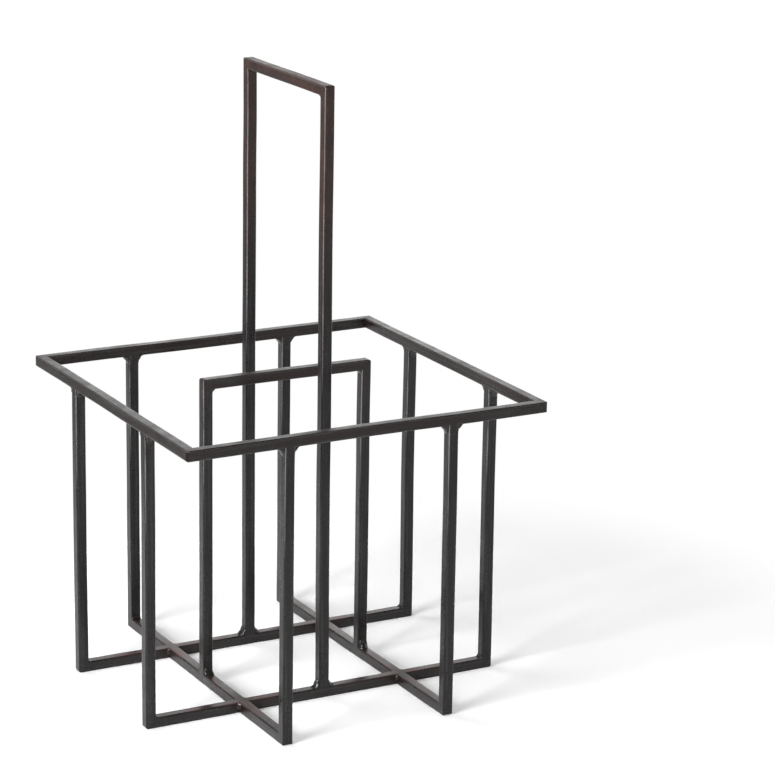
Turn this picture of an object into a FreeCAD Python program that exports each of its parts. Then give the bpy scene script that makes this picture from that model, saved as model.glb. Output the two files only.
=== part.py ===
"""Bottle caddy welded from one size of square steel bar.

A mitred rim stands on eight legs. Each leg's foot is mitred to a floor bar, so that two pairs of floor bars
cross flush under the four bays like a hash sign. A tall hoop on the middle of two floor bars is the carrying
handle, and a low hoop across it, on the other two, divides the bays. Weld beads fill the corners.

Millimetres, +Z up, origin on the floor under the middle of the rim. X runs left to right, Y front to back.
"""
import FreeCAD
import Part

import math
import os

# Bar stock
BAR = 5.5  # side of the square bar
ARRIS = 0.6  # rounding of the bar's long edges
BEVEL = 0.8  # flat dressed on the outside of a mitred corner, as measured along either bar

# Rim
RIM_LENGTH = 200.0  # outside, along X
RIM_WIDTH = 192.0  # outside, along Y
RIM_TOP = 160.0  # height of its top face

# Floor bars, which set the legs' and the hoops' places too
LEFT_RIGHT_PITCH = 91.0  # between the middles of the two floor bars along Y
FRONT_BACK_PITCH = 87.0  # between the middles of the two floor bars along X

# Hoops
HANDLE_TOP = 320.0  # height of the grip's top face
DIVIDER_TOP = 165.0  # height of the divider's top face

# Weld beads: the run of a bead along one bar, and its climb up the other
LEG_WELD_RUN = 3.8
LEG_WELD_CLIMB = 4.4
HOOP_WELD_RUN = 3.0
HOOP_WELD_CLIMB = 3.8
CROSSING_WELD = 2.4
CROSSING_WELD_LIFT = 1.6  # clear height under it, so that only bars touch the floor
HOOP_CORNER_WELD = 2.2
FOOT_CORNER_WELD = 1.5
WELD_TOE = 0.3  # thickness of a bead at its edges
HOLLOW_SHARE = 0.37  # how far the bead's face stands from the corner; a flat face would be at a half

# A long edge runs within this angle of the bar's own line, and a mitre or a bevel does not
LONG_EDGE_COSINE = math.cos(math.radians(10))

X = FreeCAD.Vector(1, 0, 0)
Y = FreeCAD.Vector(0, 1, 0)
Z = FreeCAD.Vector(0, 0, 1)


class Plane:
    """The middle plane of a flat frame of bars, with u along the frame and v across it."""

    def __init__(self, centre, u, v):
        self.centre = centre
        self.u = u
        self.v = v
        self.through = u.cross(v)

    def point(self, u, v):
        return self.centre + self.u * u + self.v * v

    def bar(self, start, end, inward, mitred_start=False, mitred_end=False):
        """Bar whose outer edge runs from start to end, with its inner edge on the inward side."""
        return square_bar(start, end, inward, self.through, mitred_start, mitred_end)

    def bead(self, corner, run, climb, width=BAR - 2 * ARRIS):
        """Weld bead in the inside corner of two bars, along the vectors run and climb."""
        return weld_bead(corner, run, climb, self.through, width)


def end_cut(corner, way, inward, mitred):
    """Points across one end of a bar, from its outer edge to its inner edge; way points into the bar.

    A mitred end meets its neighbour on the diagonal, and half of the corner's bevel is on each bar.
    """
    if not mitred:
        return [corner, corner + inward * BAR]
    bevel_on_mitre = corner + (way + inward) * (BEVEL / 2)
    return [corner + way * BEVEL, bevel_on_mitre, corner + (way + inward) * BAR]


def is_long_edge(edge, along):
    middle = (edge.FirstParameter + edge.LastParameter) / 2
    return abs(edge.tangentAt(middle).dot(along)) > LONG_EDGE_COSINE


def square_bar(start, end, inward, through, mitred_start, mitred_end):
    """Bar of the square stock with its ends cut square or mitred and its long edges rounded."""
    along = (end - start).normalize()
    outline = end_cut(start, along, inward, mitred_start)
    outline += reversed(end_cut(end, -along, inward, mitred_end))
    face = Part.Face(Part.makePolygon(outline + outline[:1]))
    face.translate(through * (-BAR / 2))
    blank = face.extrude(through * BAR)
    return blank.makeFillet(ARRIS, [edge for edge in blank.Edges if is_long_edge(edge, along)])


def weld_bead(corner, run, climb, through, width):
    """Hollow-faced bead with thin edges, its width centred on the corner."""
    run_toe = corner + run + (climb / climb.Length) * WELD_TOE
    climb_toe = corner + climb + (run / run.Length) * WELD_TOE
    hollow = Part.Arc(run_toe, corner + (run + climb) * HOLLOW_SHARE, climb_toe).toShape()
    rest = Part.makePolygon([climb_toe, corner + climb, corner, corner + run, run_toe])
    face = Part.Face(Part.Wire([hollow] + rest.Edges))
    face.translate(through * (-width / 2))
    return face.extrude(through * width)


def rim_bars(nodes):
    plane = Plane(Z * (RIM_TOP - BAR / 2), X, Y)
    right = RIM_LENGTH / 2
    back = RIM_WIDTH / 2
    front_left = plane.point(-right, -back)
    front_right = plane.point(right, -back)
    back_left = plane.point(-right, back)
    back_right = plane.point(right, back)
    nodes["rim_front_bar"] = [plane.bar(front_left, front_right, Y, True, True)]
    nodes["rim_back_bar"] = [plane.bar(back_left, back_right, -Y, True, True)]
    nodes["rim_left_bar"] = [plane.bar(front_left, back_left, X, True, True)]
    nodes["rim_right_bar"] = [plane.bar(front_right, back_right, -X, True, True)]


def leg(nodes, plane, reach, name):
    """One leg, its weld beads under the rim and the bead inside its foot; reach is its outer face."""
    inward = plane.u * math.copysign(1, -reach)
    foot = plane.point(reach, 0)
    head = plane.point(reach, RIM_TOP - BAR)
    nodes[name] = [plane.bar(foot, head, inward, mitred_start=True)]
    inside = foot + (inward + plane.v) * BAR
    bead = plane.bead(inside, inward * FOOT_CORNER_WELD, plane.v * FOOT_CORNER_WELD)
    nodes["foot_corner_welds"].append(bead)
    under_rim = Plane(head + inward * (BAR / 2), plane.through, plane.v)
    for side in (-1, 1):
        corner = under_rim.point(side * BAR / 2, 0)
        run = under_rim.u * (side * LEG_WELD_RUN)
        nodes["leg_top_welds"].append(under_rim.bead(corner, run, -under_rim.v * LEG_WELD_CLIMB))


def through_frames(nodes):
    """The two floor bars along Y, each in one length, with their legs under the rim's front and back."""
    for side, across in (("left", -LEFT_RIGHT_PITCH / 2), ("right", LEFT_RIGHT_PITCH / 2)):
        plane = Plane(X * across, Y, Z)
        back = RIM_WIDTH / 2
        leg(nodes, plane, -back, f"front_leg_{side}")
        leg(nodes, plane, back, f"back_leg_{side}")
        floor_bar = plane.bar(plane.point(-back, 0), plane.point(back, 0), Z, True, True)
        nodes[f"floor_bar_{side}"] = [floor_bar]


def cut_frames(nodes):
    """The two floor bars along X, each cut in three by the through bars, with legs under the rim's ends."""
    near_side = (LEFT_RIGHT_PITCH - BAR) / 2
    far_side = (LEFT_RIGHT_PITCH + BAR) / 2
    for side, across in (("front", -FRONT_BACK_PITCH / 2), ("back", FRONT_BACK_PITCH / 2)):
        plane = Plane(Y * across, X, Z)
        right = RIM_LENGTH / 2
        leg(nodes, plane, -right, f"left_leg_{side}")
        leg(nodes, plane, right, f"right_leg_{side}")
        left_stub = plane.bar(plane.point(-right, 0), plane.point(-far_side, 0), Z, mitred_start=True)
        middle = plane.bar(plane.point(-near_side, 0), plane.point(near_side, 0), Z)
        right_stub = plane.bar(plane.point(far_side, 0), plane.point(right, 0), Z, mitred_end=True)
        nodes[f"floor_{side}_stub_left"] = [left_stub]
        nodes[f"floor_{side}_middle"] = [middle]
        nodes[f"floor_{side}_stub_right"] = [right_stub]


def crossing_welds(nodes):
    """A bead up each of the four inside corners where two floor bars cross."""
    width = BAR - ARRIS - CROSSING_WELD_LIFT
    plane = Plane(Z * (CROSSING_WELD_LIFT + width / 2), X, Y)
    for across_x in (-LEFT_RIGHT_PITCH / 2, LEFT_RIGHT_PITCH / 2):
        for across_y in (-FRONT_BACK_PITCH / 2, FRONT_BACK_PITCH / 2):
            for way_x in (-X, X):
                for way_y in (-Y, Y):
                    middle = plane.point(across_x, across_y)
                    corner = middle + (way_x + way_y) * (BAR / 2)
                    bead = plane.bead(corner, way_x * CROSSING_WELD, way_y * CROSSING_WELD, width)
                    nodes["floor_crossing_welds"].append(bead)


def hoop(nodes, plane, pitch, top, name, post_names, top_name):
    """Two posts on the floor bars and a bar mitred across their tops."""
    half = (pitch + BAR) / 2
    for post_name, reach in zip(post_names, (-half, half)):
        inward = plane.u * math.copysign(1, -reach)
        foot = plane.point(reach, BAR)
        head = plane.point(reach, top)
        nodes[post_name] = [plane.bar(foot, head, inward, mitred_end=True)]
        inside = head + (inward - plane.v) * BAR
        bead = plane.bead(inside, inward * HOOP_CORNER_WELD, -plane.v * HOOP_CORNER_WELD)
        nodes[f"{name}_corner_welds"].append(bead)
        on_floor_bar = Plane(foot + inward * (BAR / 2), plane.through, plane.v)
        for side in (-1, 1):
            corner = on_floor_bar.point(side * BAR / 2, 0)
            run = on_floor_bar.u * (side * HOOP_WELD_RUN)
            nodes[f"{name}_foot_welds"].append(on_floor_bar.bead(corner, run, plane.v * HOOP_WELD_CLIMB))
    nodes[top_name] = [plane.bar(plane.point(-half, top), plane.point(half, top), -plane.v, True, True)]


def build():
    groups = ("leg_top_welds", "foot_corner_welds", "floor_crossing_welds", "handle_foot_welds",
              "handle_corner_welds", "divider_foot_welds", "divider_corner_welds")
    nodes = {name: [] for name in groups}
    rim_bars(nodes)
    through_frames(nodes)
    cut_frames(nodes)
    crossing_welds(nodes)
    hoop(nodes, Plane(FreeCAD.Vector(), Y, Z), FRONT_BACK_PITCH, HANDLE_TOP, "handle",
         ("handle_post_front", "handle_post_back"), "handle_grip")
    hoop(nodes, Plane(FreeCAD.Vector(), X, Z), LEFT_RIGHT_PITCH, DIVIDER_TOP, "divider",
         ("divider_post_left", "divider_post_right"), "divider_top")
    return nodes


os.makedirs("parts", exist_ok=True)
for node_name, solids in build().items():
    shape = solids[0] if len(solids) == 1 else Part.makeCompound(solids)
    shape.exportStep(f"parts/{node_name}.step")
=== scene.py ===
# A welded bottle caddy of square steel bar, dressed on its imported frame.
# Lengths are metres, +Z is up, and the front of the caddy faces -Y.
import math

import bpy
from mathutils import Matrix, Vector


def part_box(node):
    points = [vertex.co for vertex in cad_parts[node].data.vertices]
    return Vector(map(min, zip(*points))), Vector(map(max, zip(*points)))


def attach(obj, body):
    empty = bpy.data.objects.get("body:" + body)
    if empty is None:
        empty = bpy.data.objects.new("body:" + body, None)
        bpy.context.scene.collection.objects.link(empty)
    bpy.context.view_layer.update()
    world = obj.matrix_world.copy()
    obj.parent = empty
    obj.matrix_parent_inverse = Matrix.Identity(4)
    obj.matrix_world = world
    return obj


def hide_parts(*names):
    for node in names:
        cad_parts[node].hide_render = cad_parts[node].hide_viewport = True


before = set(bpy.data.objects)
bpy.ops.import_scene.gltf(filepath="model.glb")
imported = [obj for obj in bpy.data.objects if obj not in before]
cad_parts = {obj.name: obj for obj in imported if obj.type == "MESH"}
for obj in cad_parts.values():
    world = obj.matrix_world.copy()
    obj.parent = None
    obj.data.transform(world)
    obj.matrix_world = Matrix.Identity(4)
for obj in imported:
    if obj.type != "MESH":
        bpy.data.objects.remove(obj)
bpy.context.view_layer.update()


# Floor bars
# Two bars run through from front to back on the floor. The two that cross them are cut at each crossing.
# All are hot-rolled square mild steel, mitred at the feet, welded, ground flush and lacquered.
MM = 0.001
UP = Vector((0, 0, 1))
DOWN = -UP
RIGHT = Vector((1, 0, 0))
LEFT = -RIGHT
BACK = Vector((0, 1, 0))
FRONT = -BACK
floor_low, floor_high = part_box("floor_bar_left")
BAR = floor_high.z - floor_low.z
ARRIS = 0.65 * MM
SECTION_POINTS = 48
RING_SPACING = 2.2 * MM
RING_CROWDING = 0.7  # at 0 the rings are evenly spaced, and at 1 they meet at the ends
CORNER_RADIUS = 1.37 * MM
CORNER_REACH = CORNER_RADIUS * (1 - math.sqrt(0.5))  # from the sharp corner in to the filed one
GROUND_FULL = BAR  # a bar's end is ground over this length, and less and less up to the next
GROUND_END = 3 * BAR
GROUND_SHARE = 0.5
CREEP = 0.28 * MM
CREEP_LENGTH = 85 * MM
CREEP_HEIGHT = 10 * BAR  # from here on a bar wanders up and down as much as sideways
NOISE_MIDDLE = 0.5
NOISE_SWING = 0.25  # noise keeps mostly within this of its middle


def add(tree, kind, inputs=(), **settings):
    """One node with its settings. Inputs are values, sockets or nodes, in order or by name."""
    node = tree.nodes.new(kind)
    for name, value in settings.items():
        setattr(node, name, value)
    free = [socket for socket in node.inputs if socket.enabled]
    named = {socket.name: socket for socket in reversed(free)}
    pairs = inputs.items() if isinstance(inputs, dict) else enumerate(inputs)
    for key, value in pairs:
        socket = named[key] if isinstance(key, str) else free[key]
        if isinstance(value, bpy.types.Node):
            value = next(out for out in value.outputs if out.enabled)
        if isinstance(value, bpy.types.NodeSocket):
            tree.links.new(value, socket)
        else:
            socket.default_value = value
    return node


def tree_with(name, inputs, output):
    """A new geometry tree with these named inputs, and its group input's sockets."""
    tree = bpy.data.node_groups.new(name, "GeometryNodeTree")
    for label, kind in inputs.items():
        tree.interface.new_socket(label, in_out="INPUT", socket_type="NodeSocket" + kind)
    tree.interface.new_socket(output, in_out="OUTPUT", socket_type="NodeSocketGeometry")
    return tree, add(tree, "NodeGroupInput").outputs


def creep_tree():
    """The slight wander of bar that was straightened and welded by hand. It leaves the floor level."""
    tree, given = tree_with("weld_creep", {"Shape": "Geometry"}, "Shape")
    full = CREEP / NOISE_SWING
    place = add(tree, "GeometryNodeInputPosition")
    height = add(tree, "ShaderNodeSeparateXYZ", [place]).outputs["Z"]
    noise = add(tree, "ShaderNodeTexNoise", {"Vector": place, "Scale": 1 / CREEP_LENGTH, "Detail": 1.0})
    centred = add(tree, "ShaderNodeVectorMath", [noise.outputs["Color"], [NOISE_MIDDLE] * 3],
                  operation="SUBTRACT")
    lift = add(tree, "ShaderNodeMapRange", [height, BAR, CREEP_HEIGHT, 0.0, full])
    reach = add(tree, "ShaderNodeCombineXYZ", [full, full, lift])
    shift = add(tree, "ShaderNodeVectorMath", [centred, reach], operation="MULTIPLY")
    moved = add(tree, "GeometryNodeSetPosition", {"Geometry": given["Shape"], "Offset": shift})
    add(tree, "NodeGroupOutput", [moved])
    return tree


def rounded_square(tree, side, arris, flat):
    """A bar's section: each point of a circle goes to the nearest point of the rounded square inside it."""
    ring = add(tree, "GeometryNodeCurvePrimitiveCircle", {"Resolution": SECTION_POINTS, "Radius": side})
    point = add(tree, "GeometryNodeInputPosition")
    most = add(tree, "ShaderNodeCombineXYZ", [flat, flat, 0.0])
    least = add(tree, "ShaderNodeVectorMath", {"Vector": most, "Scale": -1.0}, operation="SCALE")
    capped = add(tree, "ShaderNodeVectorMath", [point, most], operation="MINIMUM")
    core = add(tree, "ShaderNodeVectorMath", [capped, least], operation="MAXIMUM")
    out = add(tree, "ShaderNodeVectorMath", [point, core], operation="SUBTRACT")
    outward = add(tree, "ShaderNodeVectorMath", [out], operation="NORMALIZE")
    rounding = add(tree, "ShaderNodeVectorMath", {"Vector": outward, "Scale": arris}, operation="SCALE")
    on_square = add(tree, "ShaderNodeVectorMath", [core, rounding], operation="ADD")
    return add(tree, "GeometryNodeSetPosition", {"Geometry": ring, "Position": on_square})


def filed_depth(tree, depth, radius, distance, mitre):
    """A point's depth under the outer face, once the corner at a mitred end is filed round."""
    gone = add(tree, "ShaderNodeMath", [radius, distance], operation="SUBTRACT")
    within = add(tree, "ShaderNodeMath", [gone, 0.0], operation="MAXIMUM")
    square = add(tree, "ShaderNodeMath", [within, within], operation="MULTIPLY")
    radius_square = add(tree, "ShaderNodeMath", [radius, radius], operation="MULTIPLY")
    left = add(tree, "ShaderNodeMath", [radius_square, square], operation="SUBTRACT")
    root = add(tree, "ShaderNodeMath", [left], operation="SQRT")
    bite = add(tree, "ShaderNodeMath", [radius, root], operation="SUBTRACT")
    taken = add(tree, "ShaderNodeMath", [bite, mitre], operation="MULTIPLY")
    return add(tree, "ShaderNodeMath", [depth, taken], operation="MAXIMUM")


def bar_tree(creep):
    """One bar of rounded square section, with its outer edge on the start point's line and mitred ends."""
    tree, given = tree_with("square_bar", {
        "Start": "Vector", "Along": "Vector", "Inward": "Vector", "Length": "Float", "Side": "Float",
        "Arris": "Float", "Corner radius": "Float", "Corner reach": "Float", "Start mitre": "Float",
        "End mitre": "Float", "Rings": "Int", "Lacquer": "Material"}, "Bar")
    half = add(tree, "ShaderNodeMath", [given["Side"], 0.5], operation="MULTIPLY")
    flat = add(tree, "ShaderNodeMath", [half, given["Arris"]], operation="SUBTRACT")
    section = rounded_square(tree, given["Side"], given["Arris"], flat)
    line = add(tree, "GeometryNodeCurvePrimitiveLine", {"End": (0.0, 0.0, 1.0)})
    rings = add(tree, "GeometryNodeResampleCurve", {"Curve": line, "Count": given["Rings"]})
    swept = add(tree, "GeometryNodeCurveToMesh",
                {"Curve": rings, "Profile Curve": section, "Fill Caps": True})

    # The rings crowd towards the ends, where the mitres and the filed corners are.
    across = add(tree, "ShaderNodeSeparateXYZ", [add(tree, "GeometryNodeInputPosition")])
    turn = add(tree, "ShaderNodeMath", [across.outputs["Z"], math.tau], operation="MULTIPLY")
    wave = add(tree, "ShaderNodeMath", [turn], operation="SINE")
    crowd = add(tree, "ShaderNodeMath", [wave, RING_CROWDING / math.tau], operation="MULTIPLY")
    share = add(tree, "ShaderNodeMath", [across.outputs["Z"], crowd], operation="SUBTRACT")
    inward = add(tree, "ShaderNodeMath", [across.outputs["X"], half], operation="ADD")
    cut = add(tree, "ShaderNodeMath", [inward, given["Corner reach"]], operation="MAXIMUM")
    low = add(tree, "ShaderNodeMath", [cut, given["Start mitre"]], operation="MULTIPLY")
    high_cut = add(tree, "ShaderNodeMath", [cut, given["End mitre"]], operation="MULTIPLY")
    high = add(tree, "ShaderNodeMath", [given["Length"], high_cut], operation="SUBTRACT")
    run = add(tree, "ShaderNodeMapRange", [share, 0.0, 1.0, low, high])
    rest = add(tree, "ShaderNodeMath", [given["Length"], run], operation="SUBTRACT")
    depth = filed_depth(tree, inward, given["Corner radius"], run, given["Start mitre"])
    depth = filed_depth(tree, depth, given["Corner radius"], rest, given["End mitre"])
    placed = add(tree, "ShaderNodeCombineXYZ", [depth, across.outputs["Y"], run])

    # How near a point is to an arris, how far its end was ground, and where it is along the rolled grain.
    near_x = add(tree, "ShaderNodeMath", [across.outputs["X"]], operation="ABSOLUTE")
    near_y = add(tree, "ShaderNodeMath", [across.outputs["Y"]], operation="ABSOLUTE")
    nearer = add(tree, "ShaderNodeMath", [near_x, near_y], operation="MINIMUM")
    edge = add(tree, "ShaderNodeMapRange", [nearer, flat, half, 0.0, 1.0])
    end = add(tree, "ShaderNodeMath", [run, rest], operation="MINIMUM")
    ground = add(tree, "ShaderNodeMapRange", [end, GROUND_END, GROUND_FULL, 0.0, GROUND_SHARE])
    marked = swept
    for name, kind, value in (("arris", "FLOAT", edge), ("dressed", "FLOAT", ground),
                              ("grain", "FLOAT_VECTOR", placed)):
        marked = add(tree, "GeometryNodeStoreNamedAttribute",
                     {"Geometry": marked, "Name": name, "Value": value}, data_type=kind, domain="POINT")
    shaped = add(tree, "GeometryNodeSetPosition", {"Geometry": marked, "Position": placed})

    # The four-cornered faces of the sides are smooth. The cut ends have more corners and stay flat.
    aim = add(tree, "FunctionNodeAxesToRotation", [given["Along"], given["Inward"]],
              primary_axis="Z", secondary_axis="X")
    laid = add(tree, "GeometryNodeTransform",
               {"Geometry": shaped, "Translation": given["Start"], "Rotation": aim})
    wandering = add(tree, "GeometryNodeGroup", [laid], node_tree=creep)
    corners = add(tree, "GeometryNodeInputMeshFaceNeighbors").outputs["Vertex Count"]
    side = add(tree, "FunctionNodeCompare", [corners, 4], data_type="INT", operation="LESS_EQUAL")
    smooth = add(tree, "GeometryNodeSetShadeSmooth", {"Geometry": wandering, "Shade Smooth": side})
    real = add(tree, "GeometryNodeRealizeInstances", [smooth])
    painted = add(tree, "GeometryNodeSetMaterial", {"Geometry": real, "Material": given["Lacquer"]})
    add(tree, "NodeGroupOutput", [painted])
    return tree


def made_by(tree, base, name, values):
    """The plain mesh object that a tree makes from a base mesh with these inputs."""
    piece = bpy.data.objects.new(name, base)
    bpy.context.scene.collection.objects.link(piece)
    modifier = piece.modifiers.new("make", "NODES")
    modifier.node_group = tree
    for socket in tree.interface.items_tree:
        if socket.in_out == "INPUT" and socket.name in values:
            modifier[socket.identifier] = values[socket.name]
    evaluated = piece.evaluated_get(bpy.context.evaluated_depsgraph_get())
    mesh = bpy.data.meshes.new_from_object(evaluated)
    mesh.name = name
    piece.modifiers.remove(modifier)
    piece.data = mesh
    bpy.data.meshes.remove(base)
    return piece


# Satin black lacquer on hot-rolled steel: a thin near-black coat over scale that still shows the rolled
# lines, so the faces stay dark and grazing light runs grey along them. Upright arrises are rubbed nearly
# bare where hands pass, and their light grey colour is also a painted highlight of the softbox mirrored
# in them. The coat is burnt red-brown round the crossings.
BLACK_COAT = "#0a0a0a"
RUBBED_BROWN = "#4d3029"
# Bare steel on the upright arrises, its light grey partly real wear and partly a painted highlight.
BARE_STEEL_AND_HIGHLIGHT = "#8a8989"
SCORCHED = "#1d0f0c"
SCALE_DUST = "#272424"
LACQUER_IOR = 1.4
MOTTLE = 9 * MM
WEAR_PATCH = 16 * MM
SCALE_PIT = 0.9 * MM  # real pits, lines and marks are finer, and these are as coarse as they need to show
ROLLED_LINE = 1.1 * MM
ROLLED_LENGTH = 50 * MM
GRIND_MARK = 0.7 * MM
GRIND_LENGTH = 3.5 * MM
GRAIN_DEPTH = 0.035 * MM
LINE_WEIGHT = 2.4  # how much more the lines and marks tell than the pits
STREAK_MIDDLE = NOISE_MIDDLE * (LINE_WEIGHT + 1)
cross_low, cross_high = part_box("floor_front_middle")
CROSSING = Vector((abs(floor_low.x + floor_high.x) / 2, abs(cross_low.y + cross_high.y) / 2, 0))
HEAT_FULL = 2 * BAR  # out from a crossing, the coat is burnt as far as this, and less up to the reach
HEAT_REACH = 60 * MM
SCORCH_FULL = 1.2 * BAR
SCORCH_REACH = 2.8 * BAR
RUB_FROM = 130 * MM  # hands rub the coat brown from this height up to the next
RUB_FULL = 250 * MM
# Above this height the upright arrises show bare steel and a painted highlight together.
BARE_AND_HIGHLIGHT_FROM = 95 * MM  # and upright arrises bare from this height
BARE_AND_HIGHLIGHT_FADE = 40 * MM
BARE_AND_HIGHLIGHT_MOST = 0.8
BARE_METAL = 0.45
RUB_DULLING = 0.09

# Each range is two readings and what they give: of the mottle, of the way a face looks up, of the
# streaks and of the rubbing and painted highlight on the arrises.
BROWN_CLOUDS = (0.3, 0.66, 0.55, 1.0)
BURNT_CLOUDS = (0.36, 0.6, 0.15, 1.0)
SCORCH_FLECKS = (0.42, 0.56, 1.0, 0.2)
GLOSS_CLOUDS = (0.3, 0.7, 0.22, 0.38)
FLAT_TOPS = (0.5, 0.95, 0.14, 1.0)
UPRIGHT_FACES = (0.2, 0.5, 1.0, 0.0)
BROKEN_COAT = (1.62, 2.05, 0.0, 1.0)
RUBBED_AND_HIGHLIT_ARRIS = (0.06, 0.3, 0.0, 1.0)


def linear(colour):
    """An sRGB hex colour as linear red, green, blue and alpha."""
    parts = [int(colour[at:at + 2], 16) / 255 for at in (1, 3, 5)]
    return [p / 12.92 if p <= 0.04045 else ((p + 0.055) / 1.055) ** 2.4 for p in parts] + [1.0]


def new_finish(name):
    """A material with an empty node tree."""
    material = bpy.data.materials.new(name)
    material.use_nodes = True
    material.node_tree.nodes.clear()
    return material


def satin_lacquer(name, coat, rubbed, arris_steel_and_highlight, rub_from, rub_full, bare_and_highlight_from):
    """Lacquer over rolled grain and scale, burnt at the crossings.

    It is rubbed brown from one height to another, and above a third its arrises are bare steel with a
    painted highlight.
    """
    material = new_finish(name)
    tree = material.node_tree
    place = add(tree, "ShaderNodeTexCoord").outputs["Object"]
    grain = add(tree, "ShaderNodeAttribute", attribute_name="grain").outputs["Vector"]
    arris = add(tree, "ShaderNodeAttribute", attribute_name="arris").outputs["Fac"]
    dressed = add(tree, "ShaderNodeAttribute", attribute_name="dressed").outputs["Fac"]
    mottle = add(tree, "ShaderNodeTexNoise",
                 {"Vector": place, "Scale": 1 / MOTTLE, "Detail": 4.0, "Roughness": 0.6})
    patch = add(tree, "ShaderNodeTexNoise", {"Vector": place, "Scale": 1 / WEAR_PATCH, "Detail": 1.0})
    pits = add(tree, "ShaderNodeTexNoise",
               {"Vector": place, "Scale": 1 / SCALE_PIT, "Detail": 2.0, "Roughness": 0.6})
    drawn_out = (1.0, 1.0, ROLLED_LINE / ROLLED_LENGTH)
    drawn = add(tree, "ShaderNodeMapping", {"Vector": grain, "Scale": drawn_out}, vector_type="POINT")
    lines = add(tree, "ShaderNodeTexNoise", {"Vector": drawn, "Scale": 1 / ROLLED_LINE, "Detail": 2.0})
    swept_over = (GRIND_MARK / GRIND_LENGTH, GRIND_MARK / GRIND_LENGTH, 1.0)
    swept = add(tree, "ShaderNodeMapping", {"Vector": grain, "Scale": swept_over}, vector_type="POINT")
    marks = add(tree, "ShaderNodeTexNoise", {"Vector": swept, "Scale": 1 / GRIND_MARK, "Detail": 1.0})
    scored = add(tree, "ShaderNodeMix", [dressed, lines, marks], data_type="FLOAT")

    # Brown comes through where the coat is thin or burnt, and right at a crossing it is scorched dark.
    height = add(tree, "ShaderNodeSeparateXYZ", [place]).outputs["Z"]
    handled = add(tree, "ShaderNodeMapRange", [height, rub_from, rub_full, 0.0, 1.0],
                  interpolation_type="SMOOTHSTEP")
    even = add(tree, "ShaderNodeMapRange", [mottle, *BROWN_CLOUDS])
    thin = add(tree, "ShaderNodeMath", [handled, even], operation="MULTIPLY")
    quarter = add(tree, "ShaderNodeVectorMath", [place], operation="ABSOLUTE")
    away = add(tree, "ShaderNodeVectorMath", [quarter, CROSSING], operation="DISTANCE").outputs["Value"]
    near = add(tree, "ShaderNodeMapRange", [away, HEAT_REACH, HEAT_FULL, 0.0, 1.0])
    normal = add(tree, "ShaderNodeNewGeometry").outputs["Normal"]
    facing = add(tree, "ShaderNodeSeparateXYZ", [normal]).outputs["Z"]
    scuffed = add(tree, "ShaderNodeMapRange", [facing, *FLAT_TOPS])
    burnt = add(tree, "ShaderNodeMath", [near, scuffed], operation="MULTIPLY")
    cloud = add(tree, "ShaderNodeMapRange", [mottle, *BURNT_CLOUDS])
    charred = add(tree, "ShaderNodeMath", [burnt, cloud], operation="MULTIPLY")
    brown = add(tree, "ShaderNodeMath", [thin, charred], operation="MAXIMUM")
    tint = add(tree, "ShaderNodeMix", [brown, linear(coat), linear(rubbed)], data_type="RGBA")
    at_weld = add(tree, "ShaderNodeMapRange", [away, SCORCH_REACH, SCORCH_FULL, 0.0, 1.0])
    flecks = add(tree, "ShaderNodeMapRange", [mottle, *SCORCH_FLECKS])
    scorch = add(tree, "ShaderNodeMath", [at_weld, flecks], operation="MULTIPLY")
    scorched = add(tree, "ShaderNodeMix", [scorch, tint, linear(SCORCHED)], data_type="RGBA")

    # Rolled lines and scale pits break the coat's colour. Handling wears the upright arrises bare, and their
    # light colour there is also a painted highlight.
    streak = add(tree, "ShaderNodeMath", [scored, LINE_WEIGHT, pits], operation="MULTIPLY_ADD")
    broken = add(tree, "ShaderNodeMapRange", [streak, *BROKEN_COAT])
    dusty = add(tree, "ShaderNodeMix", [broken, scorched, linear(SCALE_DUST)], data_type="RGBA")
    reached = add(tree, "ShaderNodeMapRange", [height, bare_and_highlight_from, bare_and_highlight_from + BARE_AND_HIGHLIGHT_FADE, 0.0, BARE_AND_HIGHLIGHT_MOST])
    slope = add(tree, "ShaderNodeMath", [facing], operation="ABSOLUTE")
    upright = add(tree, "ShaderNodeMapRange", [slope, *UPRIGHT_FACES])
    wear_and_highlight_reach = add(tree, "ShaderNodeMath", [reached, upright], operation="MULTIPLY")
    rubbing_and_highlight = add(tree, "ShaderNodeMath", [arris, patch], operation="MULTIPLY")
    polished_and_highlit = add(tree, "ShaderNodeMapRange", [rubbing_and_highlight, *RUBBED_AND_HIGHLIT_ARRIS])
    worn_and_highlit = add(tree, "ShaderNodeMath", [polished_and_highlit, wear_and_highlight_reach], operation="MULTIPLY")
    colour = add(tree, "ShaderNodeMix", [worn_and_highlit, dusty, linear(arris_steel_and_highlight)], data_type="RGBA")

    # Bare steel is part metal and smooth. The coat is duller where it is rubbed or scorched.
    bare = add(tree, "ShaderNodeMath", [worn_and_highlit, BARE_METAL], operation="MULTIPLY")
    satin = add(tree, "ShaderNodeMapRange", [mottle, *GLOSS_CLOUDS])
    dulled = add(tree, "ShaderNodeMath", [handled, scorch], operation="MAXIMUM")
    gloss = add(tree, "ShaderNodeMath", [dulled, RUB_DULLING, satin], operation="MULTIPLY_ADD")
    smoothed = add(tree, "ShaderNodeMix", [worn_and_highlit, streak, STREAK_MIDDLE], data_type="FLOAT")
    bump = add(tree, "ShaderNodeBump", {"Height": smoothed, "Distance": GRAIN_DEPTH, "Strength": 1.0})
    skin = add(tree, "ShaderNodeBsdfPrincipled",
               {"Base Color": colour, "Metallic": bare, "Roughness": gloss, "IOR": LACQUER_IOR,
                "Normal": bump})
    add(tree, "ShaderNodeOutputMaterial", {"Surface": skin})
    return material


weld_creep = creep_tree()
square_bar = bar_tree(weld_creep)
bar_lacquer = satin_lacquer("satin_black_lacquer_on_rolled_steel", BLACK_COAT, RUBBED_BROWN, BARE_STEEL_AND_HIGHLIGHT,
                            RUB_FROM, RUB_FULL, BARE_AND_HIGHLIGHT_FROM)


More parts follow.
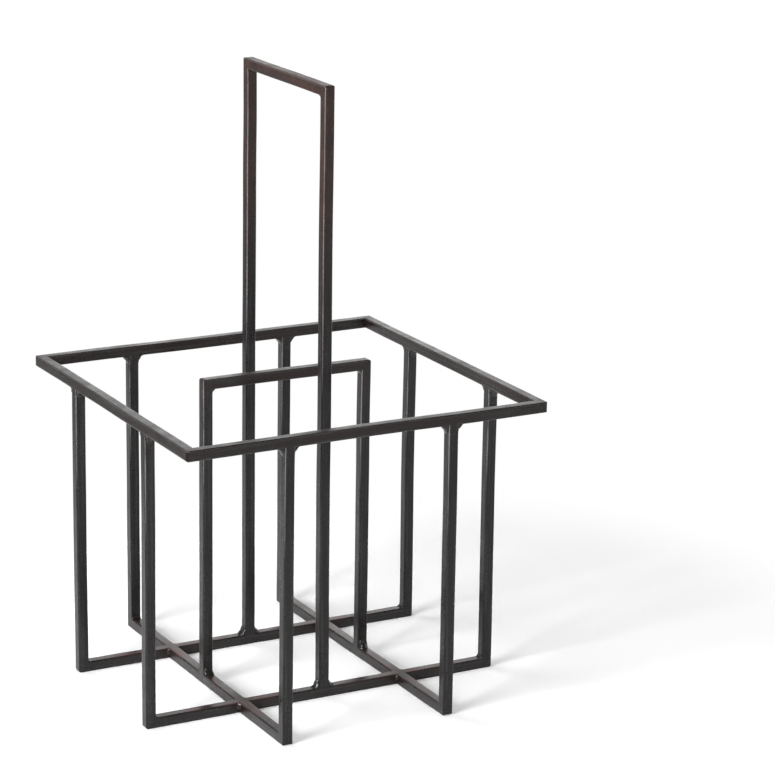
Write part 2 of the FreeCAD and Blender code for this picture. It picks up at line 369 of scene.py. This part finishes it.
def lay_bar(node, inward, finish, start_mitred=False, end_mitred=False):
    """The bar that stands for a node. Mitred ends reach their sharp corner, and cut ends sink in."""
    low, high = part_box(node)
    size = high - low
    along = max((RIGHT, BACK, UP), key=size.dot)
    outer = (low + high) / 2 - inward * BAR / 2
    length = size.dot(along)
    start_reach = CORNER_REACH if start_mitred else ARRIS
    end_reach = CORNER_REACH if end_mitred else ARRIS
    start = outer - along * (length / 2 + start_reach)
    length += start_reach + end_reach
    piece = made_by(square_bar, bpy.data.meshes.new(node), node + "_skin", {
        "Start": start, "Along": along, "Inward": inward, "Length": length, "Side": BAR, "Arris": ARRIS,
        "Corner radius": CORNER_RADIUS, "Corner reach": CORNER_REACH, "Start mitre": float(start_mitred),
        "End mitre": float(end_mitred), "Rings": round(length / RING_SPACING), "Lacquer": finish})
    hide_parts(node)
    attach(piece, "root")


for side in ("left", "right"):
    lay_bar(f"floor_bar_{side}", UP, bar_lacquer, start_mitred=True, end_mitred=True)
for face in ("front", "back"):
    lay_bar(f"floor_{face}_stub_left", UP, bar_lacquer, start_mitred=True)
    lay_bar(f"floor_{face}_middle", UP, bar_lacquer)
    lay_bar(f"floor_{face}_stub_right", UP, bar_lacquer, end_mitred=True)


# Legs
# Eight uprights, two on each side. Each is mitred to the end of a floor bar at its foot.
# Its square top butts against the underside of the rim, and a hollow weld each side holds it there.
for side in ("left", "right"):
    lay_bar(f"front_leg_{side}", BACK, bar_lacquer, start_mitred=True)
    lay_bar(f"back_leg_{side}", FRONT, bar_lacquer, start_mitred=True)
for end in ("front", "back"):
    lay_bar(f"left_leg_{end}", RIGHT, bar_lacquer, start_mitred=True)
    lay_bar(f"right_leg_{end}", LEFT, bar_lacquer, start_mitred=True)


# Rim
# Four bars mitred into a level frame, with the corners welded and dressed smooth.
# It ties the eight leg tops together and holds up what stands in the bays.
WAYS = {"front": FRONT, "back": BACK, "left": LEFT, "right": RIGHT}
for face, outward in WAYS.items():
    lay_bar(f"rim_{face}_bar", -outward, bar_lacquer, start_mitred=True, end_mitred=True)


# Handle
# A tall hoop: two posts that stand on the crossing floor bars, mitred to a short grip across the top.
# Hands have rubbed its lacquer thin, so it is browner than the rest.
rim_low, rim_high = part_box("rim_front_bar")
HANDLE_BLACK = "#0b0b0b"
HANDLE_BROWN = "#3d2924"
# Rubbed steel on the handle's arrises, its light colour partly a painted highlight.
HANDLE_STEEL_AND_HIGHLIGHT = "#8a8280"
HANDLE_RUB_FROM = rim_high.z + 30 * MM
HANDLE_RUB_FULL = rim_high.z + 130 * MM
handle_lacquer = satin_lacquer("satin_black_lacquer_rubbed_brown", HANDLE_BLACK, HANDLE_BROWN, HANDLE_STEEL_AND_HIGHLIGHT,
                               HANDLE_RUB_FROM, HANDLE_RUB_FULL, rim_high.z)
lay_bar("handle_post_front", BACK, handle_lacquer, end_mitred=True)
lay_bar("handle_post_back", FRONT, handle_lacquer, end_mitred=True)
lay_bar("handle_grip", DOWN, handle_lacquer, start_mitred=True, end_mitred=True)


# Divider
# A low hoop of the same bar across the other way, on the through floor bars, and mitred at its top corners.
# It passes through the handle hoop and parts the four bays.
lay_bar("divider_post_left", RIGHT, bar_lacquer, end_mitred=True)
lay_bar("divider_post_right", LEFT, bar_lacquer, end_mitred=True)
lay_bar("divider_top", DOWN, bar_lacquer, start_mitred=True, end_mitred=True)


# Weld beads
# Short hollow beads of weld metal in the inner corners of every joint, laid by hand and painted over.
# They are lumpy, no two the same size, and shinier than the bar because the lacquer pools on them.
BEAD_WIDTH = BAR - ARRIS / 2
BEAD_ROOT = 0.6 * MM  # how far a bead goes into the steel behind it
POINTS_ROUND = 41
POINTS_ACROSS = 21
SEAM = 0.001 * MM
SMALLEST = (0.8, 0.8, 1.0)  # shares of a bead's run, climb and width
LARGEST = (1.15, 1.15, 1.0)
LUMP_LENGTH = 1.9 * MM
LEG_TOP_RUN = 4.2 * MM
LEG_TOP_CLIMB = 5.0 * MM
LEG_TOP_LUMP = 1.1 * MM
FOOT_CORNER = 1.7 * MM
FOOT_CORNER_LUMP = 0.3 * MM
HOOP_FOOT_RUN = 3.6 * MM
HOOP_FOOT_CLIMB = 4.6 * MM
HOOP_FOOT_LUMP = 2.0 * MM
HOOP_CORNER = 2.4 * MM
HOOP_CORNER_LUMP = 0.5 * MM
CROSSING_CORNER = 1.6 * MM
CROSSING_LUMP = 1.0 * MM
CROSSING_DROP = 0.2 * MM  # below the top of the bars


def bead_shape(tree, given):
    """One hollow bead in the corner between X and Y, made of a sheet that is bent round and closed."""
    sheet = add(tree, "GeometryNodeMeshGrid",
                {"Size X": 1.0, "Size Y": 1.0, "Vertices X": POINTS_ROUND, "Vertices Y": POINTS_ACROSS})
    flat = add(tree, "ShaderNodeSeparateXYZ", [add(tree, "GeometryNodeInputPosition")])

    # Round the bead: out along the run, in to the corner, out along the climb, and back inside the steel.
    turn = add(tree, "ShaderNodeMath", [flat.outputs["X"], math.tau], operation="MULTIPLY")
    inside = add(tree, "ShaderNodeMath", [given["Root"], -1.0], operation="MULTIPLY")
    sides = []
    for wave, size in (("COSINE", given["Run"]), ("SINE", given["Climb"])):
        swing = add(tree, "ShaderNodeMath", [turn], operation=wave)
        part = add(tree, "ShaderNodeMath", [swing], operation="ABSOLUTE")
        bent = add(tree, "ShaderNodeMath", [part, given["Hollow"]], operation="POWER")
        outside = add(tree, "ShaderNodeMath", [swing, 0.0], operation="GREATER_THAN")
        reach = add(tree, "ShaderNodeMix", [outside, inside, size], data_type="FLOAT")
        sides.append(add(tree, "ShaderNodeMath", [bent, reach], operation="MULTIPLY"))

    # Across the bead: full size over the width, closing in a rounded edge at each end.
    sweep = add(tree, "ShaderNodeMath", [flat.outputs["Y"], math.pi], operation="MULTIPLY")
    lean = add(tree, "ShaderNodeMath", [sweep], operation="SINE")
    lean_size = add(tree, "ShaderNodeMath", [lean], operation="ABSOLUTE")
    squared = add(tree, "ShaderNodeMath", [lean_size, given["Edge"]], operation="POWER")
    hand = add(tree, "ShaderNodeMath", [lean], operation="SIGN")
    across = add(tree, "ShaderNodeMath", [squared, hand], operation="MULTIPLY")
    half = add(tree, "ShaderNodeMath", [given["Width"], 0.5], operation="MULTIPLY")
    width = add(tree, "ShaderNodeMath", [across, half], operation="MULTIPLY")
    upright = add(tree, "ShaderNodeMath", [sweep], operation="COSINE")
    shown = add(tree, "ShaderNodeMath", [upright, 0.0], operation="MAXIMUM")
    swell = add(tree, "ShaderNodeMath", [shown, given["Edge"]], operation="POWER")
    run = add(tree, "ShaderNodeMath", [sides[0], swell], operation="MULTIPLY")
    climb = add(tree, "ShaderNodeMath", [sides[1], swell], operation="MULTIPLY")
    on_bead = add(tree, "ShaderNodeCombineXYZ", [run, climb, width])
    bent_sheet = add(tree, "GeometryNodeSetPosition", {"Geometry": sheet, "Position": on_bead})
    return add(tree, "GeometryNodeMergeByDistance", {"Geometry": bent_sheet, "Distance": SEAM})


def bead_tree(creep):
    """One hollow bead, set into every corner point with its run and climb along the two bars there."""
    tree, given = tree_with("weld_beads", {
        "Corners": "Geometry", "Run": "Float", "Climb": "Float", "Width": "Float", "Root": "Float",
        "Hollow": "Float", "Edge": "Float", "Lump": "Float", "Lump length": "Float", "Seed": "Int",
        "Lacquer": "Material"}, "Beads")
    bead = bead_shape(tree, given)
    run_way = add(tree, "GeometryNodeInputNamedAttribute", {"Name": "run_way"}, data_type="FLOAT_VECTOR")
    climb_way = add(tree, "GeometryNodeInputNamedAttribute", {"Name": "climb_way"}, data_type="FLOAT_VECTOR")
    aim = add(tree, "FunctionNodeAxesToRotation", [run_way, climb_way], primary_axis="X", secondary_axis="Y")
    vary = add(tree, "FunctionNodeRandomValue", {"Min": SMALLEST, "Max": LARGEST, "Seed": given["Seed"]},
               data_type="FLOAT_VECTOR")
    laid = add(tree, "GeometryNodeInstanceOnPoints",
               {"Points": given["Corners"], "Instance": bead, "Rotation": aim, "Scale": vary})
    real = add(tree, "GeometryNodeRealizeInstances", [laid])

    # Lumps push the face out and in, and then the beads follow the bars' wander.
    place = add(tree, "GeometryNodeInputPosition")
    per_length = add(tree, "ShaderNodeMath", [1.0, given["Lump length"]], operation="DIVIDE")
    noise = add(tree, "ShaderNodeTexNoise", {"Vector": place, "Scale": per_length, "Detail": 1.0})
    centred = add(tree, "ShaderNodeMath", [noise, NOISE_MIDDLE], operation="SUBTRACT")
    bulge = add(tree, "ShaderNodeMath", [centred, given["Lump"]], operation="MULTIPLY")
    outward = add(tree, "GeometryNodeInputNormal")
    push = add(tree, "ShaderNodeVectorMath", {"Vector": outward, "Scale": bulge}, operation="SCALE")
    lumpy = add(tree, "GeometryNodeSetPosition", {"Geometry": real, "Offset": push})
    wandering = add(tree, "GeometryNodeGroup", [lumpy], node_tree=creep)
    smooth = add(tree, "GeometryNodeSetShadeSmooth", {"Geometry": wandering, "Shade Smooth": True})
    painted = add(tree, "GeometryNodeSetMaterial", {"Geometry": smooth, "Material": given["Lacquer"]})
    add(tree, "NodeGroupOutput", [painted])
    return tree


# Lacquer pooled on weld metal: the same coat, thicker and smoother, over fine spatter and ripples, so
# it is dark with small sharp glints. On the beads at the crossings, which were ground, it is burnt brown.
POOL_DARK = "#0a0a0a"
POOL_THIN = "#1d1918"
BURNT_DARK = "#0a0706"
BURNT_THIN = "#1a100d"
POOL_SMOOTHEST = 0.07
POOL_ROUGHEST = 0.22
BURNT_ROUGHEST = 0.2
POOL_IOR = 1.45
SPATTER = 0.8 * MM
SPATTER_DEPTH = 0.1 * MM
SPATTER_LOW = 0.35
SPATTER_HIGH = 0.65


def pooled_lacquer(name, dark, thin, roughest):
    """Lacquer over spatter, from dark and smooth where it pools to rough where it is thin."""
    material = new_finish(name)
    tree = material.node_tree
    place = add(tree, "ShaderNodeTexCoord").outputs["Object"]
    grit = add(tree, "ShaderNodeTexNoise",
               {"Vector": place, "Scale": 1 / SPATTER, "Detail": 3.0, "Roughness": 0.6})
    proud = add(tree, "ShaderNodeMapRange", [grit, SPATTER_LOW, SPATTER_HIGH, 0.0, 1.0])
    colour = add(tree, "ShaderNodeMix", [proud, linear(dark), linear(thin)], data_type="RGBA")
    gloss = add(tree, "ShaderNodeMapRange", [grit, SPATTER_LOW, SPATTER_HIGH, POOL_SMOOTHEST, roughest])
    bump = add(tree, "ShaderNodeBump", {"Height": grit, "Distance": SPATTER_DEPTH, "Strength": 1.0})
    skin = add(tree, "ShaderNodeBsdfPrincipled",
               {"Base Color": colour, "Roughness": gloss, "IOR": POOL_IOR, "Normal": bump})
    add(tree, "ShaderNodeOutputMaterial", {"Surface": skin})
    return material


weld_beads = bead_tree(weld_creep)
weld_lacquer = pooled_lacquer("pooled_black_lacquer_on_weld", POOL_DARK, POOL_THIN, POOL_ROUGHEST)
burnt_lacquer = pooled_lacquer("burnt_brown_lacquer_on_ground_weld", BURNT_DARK, BURNT_THIN, BURNT_ROUGHEST)


def weld(node, corners, run, climb, lump, seed, hollow=2.7, edge=0.5, width=BEAD_WIDTH, finish=weld_lacquer):
    """The beads that stand for a node of welds: each corner is a point and the two ways along its bars.

    A higher hollow draws a bead's face in, and a higher edge rounds its two ends more.
    """
    points = bpy.data.meshes.new(node)
    points.from_pydata([corner for corner, _, _ in corners], [], [])
    for name, at in (("run_way", 1), ("climb_way", 2)):
        ways = points.attributes.new(name, "FLOAT_VECTOR", "POINT")
        for index, corner in enumerate(corners):
            ways.data[index].vector = corner[at]
    piece = made_by(weld_beads, points, node + "_skin", {
        "Run": run, "Climb": climb, "Width": width, "Root": BEAD_ROOT, "Hollow": hollow, "Edge": edge,
        "Lump": lump, "Lump length": LUMP_LENGTH, "Seed": seed, "Lacquer": finish})
    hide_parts(node)
    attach(piece, "root")


def beside(node, way, height, climb):
    """A bead's corner on one side of an upright bar, at this height."""
    low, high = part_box(node)
    middle = (low + high) / 2
    return Vector((middle.x, middle.y, height)) + way * BAR / 2, way, climb


leg_tops = []
leg_feet = []
for faces, sides in ((("front", "back"), ("left", "right")), (("left", "right"), ("front", "back"))):
    for face in faces:
        for side in sides:
            leg = f"{face}_leg_{side}"
            leg_tops += [beside(leg, WAYS[way], rim_low.z, DOWN) for way in sides]
            leg_feet.append(beside(leg, -WAYS[face], BAR, UP))
weld("leg_top_welds", leg_tops, LEG_TOP_RUN, LEG_TOP_CLIMB, LEG_TOP_LUMP, seed=3, edge=0.65)
weld("foot_corner_welds", leg_feet, FOOT_CORNER, FOOT_CORNER, FOOT_CORNER_LUMP, seed=5)

for hoop, ends, sides, top, foot_seed, corner_seed in (
        ("handle", ("front", "back"), ("left", "right"), "handle_grip", 8, 21),
        ("divider", ("left", "right"), ("front", "back"), "divider_top", 13, 26)):
    under_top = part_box(top)[0].z
    hoop_feet = []
    hoop_corners = []
    for end in ends:
        post = f"{hoop}_post_{end}"
        hoop_feet += [beside(post, WAYS[way], BAR, UP) for way in sides]
        hoop_corners.append(beside(post, -WAYS[end], under_top, DOWN))
    weld(f"{hoop}_foot_welds", hoop_feet, HOOP_FOOT_RUN, HOOP_FOOT_CLIMB, HOOP_FOOT_LUMP, foot_seed,
         hollow=2.4, edge=0.8)
    weld(f"{hoop}_corner_welds", hoop_corners, HOOP_CORNER, HOOP_CORNER, HOOP_CORNER_LUMP, corner_seed)

# At the crossings the beads stand upright in the four corners, clear of the floor.
bead_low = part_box("floor_crossing_welds")[0]
crossings = []
for x_side in (-1, 1):
    for y_side in (-1, 1):
        middle = Vector((x_side * CROSSING.x, y_side * CROSSING.y, (bead_low.z + BAR) / 2))
        for run_way in (LEFT, RIGHT):
            for climb_way in (FRONT, BACK):
                crossings.append((middle + (run_way + climb_way) * BAR / 2, run_way, climb_way))
weld("floor_crossing_welds", crossings, CROSSING_CORNER, CROSSING_CORNER, CROSSING_LUMP, seed=55, edge=0.7,
     width=BAR - bead_low.z - CROSSING_DROP, finish=burnt_lacquer)


# Studio
# A white paper table in a white room with a darker floor. A softbox on the left lights the table and
# the bars, and a lamp above it only glints in the lacquer. A small softbox hangs above and behind, and
# a dim panel stands low behind.
TABLE_LEFT = -0.27
TABLE_RIGHT = 1.6
TABLE_FRONT = -1.2
TABLE_BACK = 1.6


def shown_rays(tree):
    """One for the rays that show the background: straight, mirrored or through glass."""
    ray = add(tree, "ShaderNodeLightPath").outputs
    seen = add(tree, "ShaderNodeMath", [ray["Is Camera Ray"], ray["Is Glossy Ray"]], operation="MAXIMUM")
    return add(tree, "ShaderNodeMath", [seen, ray["Is Transmission Ray"]], operation="MAXIMUM")


table_top = bpy.data.meshes.new("paper_table")
table_top.from_pydata([(TABLE_LEFT, TABLE_FRONT, 0), (TABLE_RIGHT, TABLE_FRONT, 0),
                       (TABLE_RIGHT, TABLE_BACK, 0), (TABLE_LEFT, TABLE_BACK, 0)], [], [(0, 1, 2, 3)])
table = bpy.data.objects.new("paper_table", table_top)
bpy.context.scene.collection.objects.link(table)

# Matt white paper: it scatters light evenly, so it shows only a soft shadow, lifted by a little fill. Past
# the shadow it is plain white, with a brighter pool of painted light on the left, a glow that the bars
# mirror.
PAPER = "#fafafa"
WHITE = "#ffffff"
SHADOW_MIDDLE = (0.06, 0.02, 0.0)
SHADOW_FADES = 0.19
SHADOW_ENDS = 0.29
# A pool of painted light: the paper glows brighter here though no lamp is there, so the bars mirror it.
PAINTED_POOL_MIDDLE = (-0.2, -0.1, 0.0)
PAINTED_POOL_FADES = 0.27
PAINTED_POOL_ENDS = 0.45
PAINTED_POOL_LEVEL = 1.4
FILL = 0.12
paper = new_finish("matt_white_paper")
tree = paper.node_tree
place = add(tree, "ShaderNodeTexCoord").outputs["Object"]
away = add(tree, "ShaderNodeVectorMath", [place, SHADOW_MIDDLE], operation="DISTANCE").outputs["Value"]
fade = add(tree, "ShaderNodeMapRange", [away, SHADOW_FADES, SHADOW_ENDS, 0.0, 1.0],
           interpolation_type="SMOOTHSTEP")
from_painted_pool = add(tree, "ShaderNodeVectorMath", [place, PAINTED_POOL_MIDDLE], operation="DISTANCE").outputs["Value"]
painted_pool = add(tree, "ShaderNodeMapRange", [from_painted_pool, PAINTED_POOL_FADES, PAINTED_POOL_ENDS, PAINTED_POOL_LEVEL, 1.0],
           interpolation_type="SMOOTHSTEP")
shown = shown_rays(tree)
matt = add(tree, "ShaderNodeBsdfDiffuse", {"Color": linear(PAPER)})
fill_level = add(tree, "ShaderNodeMath", [shown, FILL], operation="MULTIPLY")
fill = add(tree, "ShaderNodeEmission", {"Color": linear(WHITE), "Strength": fill_level})
shaded = add(tree, "ShaderNodeAddShader", [matt, fill])
plain = add(tree, "ShaderNodeEmission", {"Color": linear(WHITE), "Strength": painted_pool})
white = add(tree, "ShaderNodeMath", [fade, shown], operation="MULTIPLY")
both = add(tree, "ShaderNodeMixShader", [white, shaded, plain])
add(tree, "ShaderNodeOutputMaterial", {"Surface": both})
table_top.materials.append(paper)

# The room, by how far up a ray looks: a dark floor, white walls, and a ceiling that is dim when mirrored.
# It lights dull surfaces at a lower level than it is mirrored at, and the camera sees it white.
FLOOR_ENDS = -0.12
WALLS_START = 0.02
FLOOR_LEVEL = 0.2
WALLS_END = 0.36
CEILING_STARTS = 0.5
CEILING_LEVEL = 0.25
ROOM_LIGHT = 0.42
room = bpy.data.worlds.new("white_room")
bpy.context.scene.world = room
room.use_nodes = True
tree = room.node_tree
tree.nodes.clear()
look = add(tree, "ShaderNodeTexCoord").outputs["Generated"]
upward = add(tree, "ShaderNodeSeparateXYZ", [look]).outputs["Z"]
walls = add(tree, "ShaderNodeMapRange", [upward, FLOOR_ENDS, WALLS_START, FLOOR_LEVEL, 1.0])
dim = add(tree, "ShaderNodeMath", [walls, ROOM_LIGHT], operation="MULTIPLY")
ceiling = add(tree, "ShaderNodeMapRange", [upward, WALLS_END, CEILING_STARTS, 1.0, CEILING_LEVEL])
mirrored = add(tree, "ShaderNodeMath", [walls, ceiling], operation="MULTIPLY")
lit = add(tree, "ShaderNodeMix", [shown_rays(tree), dim, mirrored], data_type="FLOAT")
camera_ray = add(tree, "ShaderNodeLightPath").outputs["Is Camera Ray"]
level = add(tree, "ShaderNodeMath", [lit, camera_ray], operation="MAXIMUM")
glow = add(tree, "ShaderNodeBackground", {"Color": linear(WHITE), "Strength": level})
add(tree, "ShaderNodeOutputWorld", {"Surface": glow})


def from_angles(azimuth, elevation):
    """The way out from the object to a place seen at these angles in degrees."""
    a = math.radians(azimuth)
    e = math.radians(elevation)
    return Vector((math.sin(a) * math.cos(e), -math.cos(a) * math.cos(e), math.sin(e)))


def softbox(name, azimuth, elevation, distance, size, power, mirrored=True, lights=True):
    """A square soft lamp that faces the object and isn't seen itself.

    mirrored says whether reflections show it, and lights whether it lights dull surfaces.
    """
    light = bpy.data.lights.new(name, "AREA")
    light.shape = "SQUARE"
    light.size = size
    light.energy = power
    lamp = bpy.data.objects.new(name, light)
    bpy.context.scene.collection.objects.link(lamp)
    way = from_angles(azimuth, elevation)
    lamp.location = way * distance
    lamp.rotation_mode = "QUATERNION"
    lamp.rotation_quaternion = way.to_track_quat("Z", "Y")
    lamp.visible_camera = False
    lamp.visible_glossy = mirrored
    lamp.visible_diffuse = lights


softbox("left_softbox", azimuth=-71, elevation=22, distance=1.7, size=0.68, power=38, mirrored=False)
softbox("high_glint", azimuth=-66, elevation=42, distance=1.5, size=0.65, power=30, lights=False)
softbox("top_softbox", azimuth=-150, elevation=65, distance=1.2, size=0.35, power=3.5)
softbox("back_panel", azimuth=151, elevation=13, distance=1.5, size=0.6, power=1.15)

# A long lens looks from the front left, from above the handle.
CAMERA_AZIMUTH = -28.6078
CAMERA_ELEVATION = 15.8286
CAMERA_ROLL = 0.9322
CAMERA_DISTANCE = 1.56141
CAMERA_TARGET = Vector((0.042403, -0.031859, 0.157928))
SENSOR_WIDTH = 36.0
FOCAL_LENGTH = 141.188
lens = bpy.data.cameras.new("camera")
lens.sensor_width = SENSOR_WIDTH
lens.lens = FOCAL_LENGTH
camera = bpy.data.objects.new("camera", lens)
bpy.context.scene.collection.objects.link(camera)
to_camera = from_angles(CAMERA_AZIMUTH, CAMERA_ELEVATION)
level_right = from_angles(CAMERA_AZIMUTH + 90, 0)
facing = Matrix((level_right, to_camera.cross(level_right), to_camera)).transposed().to_4x4()
rolled = facing @ Matrix.Rotation(math.radians(CAMERA_ROLL), 4, "Z")
camera.matrix_world = Matrix.Translation(CAMERA_TARGET + to_camera * CAMERA_DISTANCE) @ rolled
bpy.context.scene.camera = camera
bpy.context.scene.view_settings.view_transform = "Standard"
